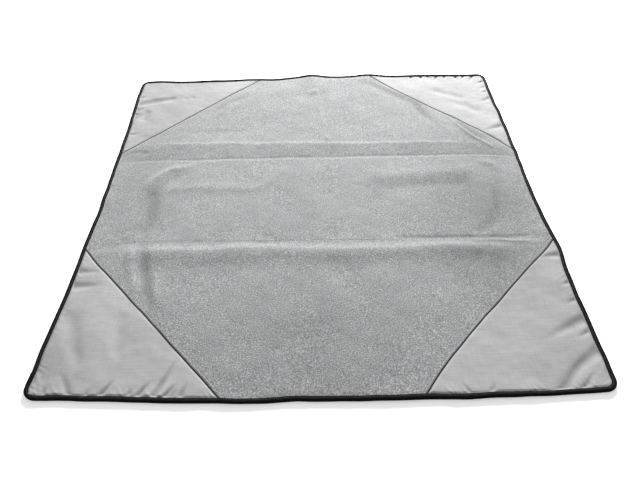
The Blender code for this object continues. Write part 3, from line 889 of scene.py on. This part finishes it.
def backing_finish():
    """Coated plain-weave backing: a fine square weave under a thin dull film."""
    made = Finish("coated_backing", Specular_IOR_Level=0.4)
    warp = made.lines("X", 0.0011, 0.2)
    weft = made.lines("Y", 0.0011, 0.2)
    weave = made.math("MULTIPLY", warp, weft)
    tone = made.ramp(made.noise(0.02, detail=4.0, rough=0.6), [(0.3, grey(0.105)), (0.7, grey(0.135))])
    made.set(Base_Color=made.mix(made.math("MULTIPLY", weave, 0.4), tone, grey(0.19)))
    made.set(Roughness=made.ramp(made.noise(0.006), [(0.3, grey(0.46)), (0.7, grey(0.62))]))
    made.relief(weave, 0.00022)
    made.relief(made.noise(0.03, detail=3.0), 0.0012)
    return made.material


def foam_finish():
    """Open-cell foam with its cut skin."""
    made = Finish("foam_cells", Roughness=0.9, Specular_IOR_Level=0.2)
    cells = made.cells(0.0014)
    made.set(Base_Color=made.ramp(cells, [(0.15, (0.72, 0.70, 0.62)), (0.7, (0.82, 0.81, 0.76))]))
    made.relief(cells, 0.0004)
    return made.material


def floor_finish():
    made = Finish("pale_floor", Roughness=0.9, Specular_IOR_Level=0.1)
    made.set(Base_Color=grey(0.90), Emission_Color=grey(1.0), Emission_Strength=0.38)
    return made.material


FLEECE_FINISH = fleece_finish()
SATIN_FINISH = satin_finish()
TAPE_FINISH = tape_finish()
WELT_FINISH = welt_finish()
SEAM_THREAD = thread_finish("grey_thread", 0.065, 0.120)
PALE_THREAD = thread_finish("pale_thread", 0.380, 0.520)
TAPE_THREAD = thread_finish("black_thread", 0.012, 0.030)
BACKING_FINISH = backing_finish()
FOAM_FINISH = foam_finish()


# --- pieces ------------------------------------------------


def hang(piece, panel):
    """Attaches a middle panel's piece to its panel. The outer panels' pieces, which reach past their fold,
    are left in place with their transform baked.
    """
    if panel == "near":
        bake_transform(piece)
    elif panel == "far":
        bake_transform(piece)
    else:
        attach(piece, panel)


def panel_limits(panel, columns, limit):
    """The near and far limits of a panel's cloth at each column."""
    if panel == "near":
        return -limit(columns), np.full_like(columns, NEAR_JOIN)
    if panel == "far":
        return np.full_like(columns, FAR_JOIN), limit(columns)
    return np.full_like(columns, NEAR_JOIN), np.full_like(columns, FAR_JOIN)


def make_panel_cloth(panel, name, node, limit, steps, height, thickness, finish):
    """A panel's sheet of cloth. Its steps are those between columns and between rows."""
    reach = HALF - LAYER_INSET
    column_step, row_step = steps
    columns = spaced(-reach, reach, column_step, crowd=0.25)
    low, high = panel_limits(panel, columns, limit)
    x, y = panel_grid(low, high, columns, row_step)
    top = height(x, y)
    piece = closed_sheet(name, x, y, top, top - thickness, finish)
    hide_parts(node)
    hang(piece, panel)


def make_fleece(panel):
    make_panel_cloth(
        panel, f"fleece_{panel}", f"top_fleece_{panel}", octagon_limit, (0.0040, 0.0040), fleece_top,
        FLEECE, FLEECE_FINISH,
    )


def make_backing(panel):
    def upper_face(x, y):
        return backing_bottom(x, y) + BACKING

    make_panel_cloth(
        panel, f"underside_{panel}", f"backing_{panel}", square_limit, (0.0070, 0.0028), upper_face,
        BACKING, BACKING_FINISH,
    )


def make_foam(panel):
    """The insert: it fills what the fleece above and the backing below leave it."""
    foam = FOAMS[panel]
    half = foam["half_width"]
    columns = spaced(-half, half, 0.006, crowd=0.5)
    low, high = np.full_like(columns, foam["low"]), np.full_like(columns, foam["high"])
    round_off = FOAM_CORNER - np.sqrt(
        np.clip(FOAM_CORNER**2 - np.clip(np.abs(columns) - half + FOAM_CORNER, 0, None) ** 2, 0, None)
    )
    if foam["diagonal"]:
        reach = SEAM_SUM - foam["diagonal"] * math.sqrt(2) - np.abs(columns)
        low, high = np.maximum(low, -reach), np.minimum(high, reach)
    low, high = low + round_off, high - round_off
    x, y = panel_grid(low, high, columns, 0.006)
    edge = np.minimum.reduce([half - np.abs(x), y - low, high - y])
    ceiling = fleece_top(x, y) - FLEECE - 2 * GAP
    floor = BACKING + GAP + stack_lift(x, y)
    eased = np.minimum(FOAM_EASE, 0.4 * (ceiling - floor)) * (1 - smooth(edge / 0.004))
    piece = closed_sheet(f"foam_{panel}", x, y, ceiling - eased, floor + eased, FOAM_FINISH)
    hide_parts(f"foam_insert_{panel}")
    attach(piece, panel)


def corner_signs(corner):
    depth, side = corner.split("_")
    return (1 if side == "right" else -1), (1 if depth == "far" else -1), depth


def make_patch(corner):
    """A satin triangle: a grid from the diagonal seam out to the two edges round the corner."""
    sx, sy, depth = corner_signs(corner)
    reach = HALF - LAYER_INSET
    radius = CORNER_RADIUS - LAYER_INSET
    tip = 0.004
    along = spaced(0, 1, 1 / 240)
    seam = SEAM_SUM + SEAM_CLEAR
    start = np.array([seam - reach + tip, reach - tip])
    end = np.array([reach - tip, seam - reach + tip])
    inner = start + along[:, None] * (end - start)
    leg = reach - radius - (seam - reach + 2 * tip)
    arc = radius * math.pi / 2
    travelled = along * (2 * leg + arc)
    turn = np.clip((travelled - leg) / radius, 0, math.pi / 2)
    outer_x = seam - reach + 2 * tip + np.minimum(travelled, leg) + radius * np.sin(turn)
    outer_y = reach - radius * (1 - np.cos(turn)) - np.clip(travelled - leg - arc, 0, None)
    outwards = spaced(0, 1, 1 / 120, crowd=0.3)
    grid = inner + outwards[:, None, None] * (zipped(outer_x, outer_y) - inner)
    x, y = sx * grid[..., 0], sy * grid[..., 1]
    if sx * sy < 0:
        x, y = x[:, ::-1], y[:, ::-1]
    top = satin_top(x, y)
    piece = closed_sheet(f"satin_{corner}", x, y, top, top - SATIN, SATIN_FINISH)
    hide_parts(f"corner_patch_{corner}")
    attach(piece, depth)


def diagonal(corner, offset=0.0, end_gap=0.006):
    """The ends of a line beside a diagonal seam, moved into the fleece by offset."""
    sx, sy, depth = corner_signs(corner)
    total = SEAM_SUM - offset * math.sqrt(2)
    far_out = HALF - LAYER_INSET - end_gap
    return (sx * (total - far_out), sy * far_out), (sx * far_out, sy * (total - far_out)), depth


def make_welt(corner):
    start, end, depth = diagonal(corner, end_gap=0.002)
    points, directions = along_line(start, end, 0.004)
    inwards = zipped(-directions[:, 1], directions[:, 0])
    angles = np.linspace(0, 2 * math.pi, 10, endpoint=False)
    height = RIM_TOP + 0.0001
    section = zipped(WELT_HALF * np.cos(angles), height + WELT_RISE * np.sin(angles))
    piece = sweep(f"welt_{corner}", line_of(points, inwards), section, WELT_FINISH)
    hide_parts(f"corner_welt_{corner}")
    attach(piece, depth)


def make_topstitch(corner):
    start, end, depth = diagonal(corner, offset=TOPSTITCH_OFFSET, end_gap=0.008)
    points, directions = along_line(start, end)
    heights = fleece_top(*points.T) + STITCH_LIFT
    piece = stitches(f"topstitch_{corner}", [(points, directions, heights, 1)], PALE_THREAD, radius=0.0006)
    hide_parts(f"corner_topstitch_{corner}")
    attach(piece, depth)


def make_tape(name, node, line, panel):
    piece = sweep(name, line, tape_section(), TAPE_FINISH, wave=TAPE_WAVE)
    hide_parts(node)
    hang(piece, panel)


def make_tape_stitches(name, node, line, panel):
    """The stitches that hold the tape, above and below."""
    x, y, inwards, distance = line
    places = np.arange(STITCH_PITCH / 2, distance[-1], STITCH_PITCH)
    row = np.stack([x, y]) + TAPE_STITCH_INSET * inwards.T
    points = zipped(*(np.interp(places, distance, track) for track in row))
    directions = np.gradient(points, axis=0)
    directions /= np.linalg.norm(directions, axis=1, keepdims=True)
    lift = stack_lift(*points.T)
    wave = TAPE_WAVE * smooth(TAPE_STITCH_INSET / TAPE_LEG) * ripples(places, 0, 0.012, 0.05, 71)
    share = (TAPE_STITCH_INSET - TAPE_WAIST) / (TAPE_LEG - TAPE_WAIST)
    on_top = BEAD_HEIGHT + (RIM_TOP + GAP + TAPE - BEAD_HEIGHT) * float(smooth(share))
    runs = [
        (points, directions, on_top + STITCH_LIFT + lift + wave, 1),
        (points, directions, 0.0004 + lift, -1),
    ]
    piece = stitches(name, runs, TAPE_THREAD)
    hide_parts(node)
    hang(piece, panel)


def make_fold_thread(panel):
    """The row of stitches that makes a fold, seen on both faces."""
    fold = NEAR_FOLD if panel == "near" else FAR_FOLD
    row = fold + (FOLD_ROW_OFFSET if panel == "near" else -FOLD_ROW_OFFSET)
    reach = HALF - 0.0115
    points, directions = along_line((-reach, row), (reach, row))
    above = fleece_top(*points.T) + STITCH_LIFT
    below = backing_bottom(*points.T) - STITCH_LIFT
    runs = [(points, directions, above, 1), (points, directions, below, -1)]
    piece = stitches(f"fold_thread_{panel}", runs, SEAM_THREAD)
    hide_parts(f"fold_stitch_{panel}")
    hang(piece, panel)


def make_tape_lap():
    """The tape's end, lapped over its start on the left edge."""
    low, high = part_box("binding_end_lap")
    y = spaced(high.y, low.y, 0.003)
    line = line_of(zipped(-HALF, y), zipped(1.0, 0 * y))
    piece = sweep("tape_lap", line, tape_section(wall=LAP_WALL), TAPE_FINISH)
    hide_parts("binding_end_lap")
    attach(piece, "near")


for panel in ("near", "middle", "far"):
    make_foam(panel)
    make_backing(panel)
    make_fleece(panel)
for panel in ("near", "far"):
    make_tape(f"tape_{panel}", f"edge_binding_{panel}", edge_line(panel), panel)
    make_tape_stitches(f"tape_thread_{panel}", f"edge_stitch_{panel}", edge_line(panel), panel)
    make_fold_thread(panel)
for side in ("left", "right"):
    make_tape(f"tape_{side}", f"edge_binding_middle_{side}", side_line(side), "middle")
    make_tape_stitches(f"tape_thread_{side}", f"edge_stitch_middle_{side}", side_line(side), "middle")
make_tape_lap()
for corner in ("near_left", "near_right", "far_left", "far_right"):
    make_patch(corner)
    make_welt(corner)
    make_topstitch(corner)


# --- floor, light and camera -------------------------------


def add_floor():
    mesh = bpy.data.meshes.new("floor")
    reach = 8.0
    corners = [(-reach, -reach, 0), (reach, -reach, 0), (reach, reach, 0), (-reach, reach, 0)]
    mesh.from_pydata(corners, [], [(0, 1, 2, 3)])
    mesh.materials.append(floor_finish())
    floor = bpy.data.objects.new("floor", mesh)
    floor.location.z = -0.0008
    bpy.context.scene.collection.objects.link(floor)


def add_light(name, place, size, power):
    """A round soft light that faces the middle of the mat."""
    data = bpy.data.lights.new(name, "AREA")
    data.shape = "DISK"
    data.size = size
    data.energy = power
    light = bpy.data.objects.new(name, data)
    light.location = place
    light.rotation_mode = "QUATERNION"
    light.rotation_quaternion = (-Vector(place)).to_track_quat("-Z", "Y")
    bpy.context.scene.collection.objects.link(light)


def add_world(strength):
    world = bpy.data.worlds.new("studio")
    world.use_nodes = True
    background = world.node_tree.nodes["Background"]
    background.inputs["Color"].default_value = (1, 1, 1, 1)
    background.inputs["Strength"].default_value = strength
    bpy.context.scene.world = world


def add_camera():
    """A held camera in front of the near edge, about a metre up."""
    place = Vector((0.0120, -1.0909, 0.9960))
    pitch = math.radians(47.25)
    yaw = math.radians(-0.15)
    roll = math.radians(-1.49)
    ahead = Vector((math.sin(yaw) * math.cos(pitch), math.cos(yaw) * math.cos(pitch), -math.sin(pitch)))
    right = Vector((math.cos(yaw), -math.sin(yaw), 0))
    up = right.cross(ahead)
    rolled_right = math.cos(roll) * right + math.sin(roll) * up
    rolled_up = -math.sin(roll) * right + math.cos(roll) * up
    data = bpy.data.cameras.new("camera")
    data.sensor_width = 36
    data.lens = 29.89
    data.clip_start = 0.05
    camera = bpy.data.objects.new("camera", data)
    axes = Matrix((rolled_right, rolled_up, -ahead)).transposed()
    camera.matrix_world = Matrix.Translation(place) @ axes.to_4x4()
    bpy.context.scene.collection.objects.link(camera)
    bpy.context.scene.camera = camera


add_floor()
add_light("window", place=(0.8, 3.5, 2.0), size=1.6, power=590)
add_world(strength=0.50)
add_camera()
bpy.context.scene.view_settings.view_transform = "Standard"
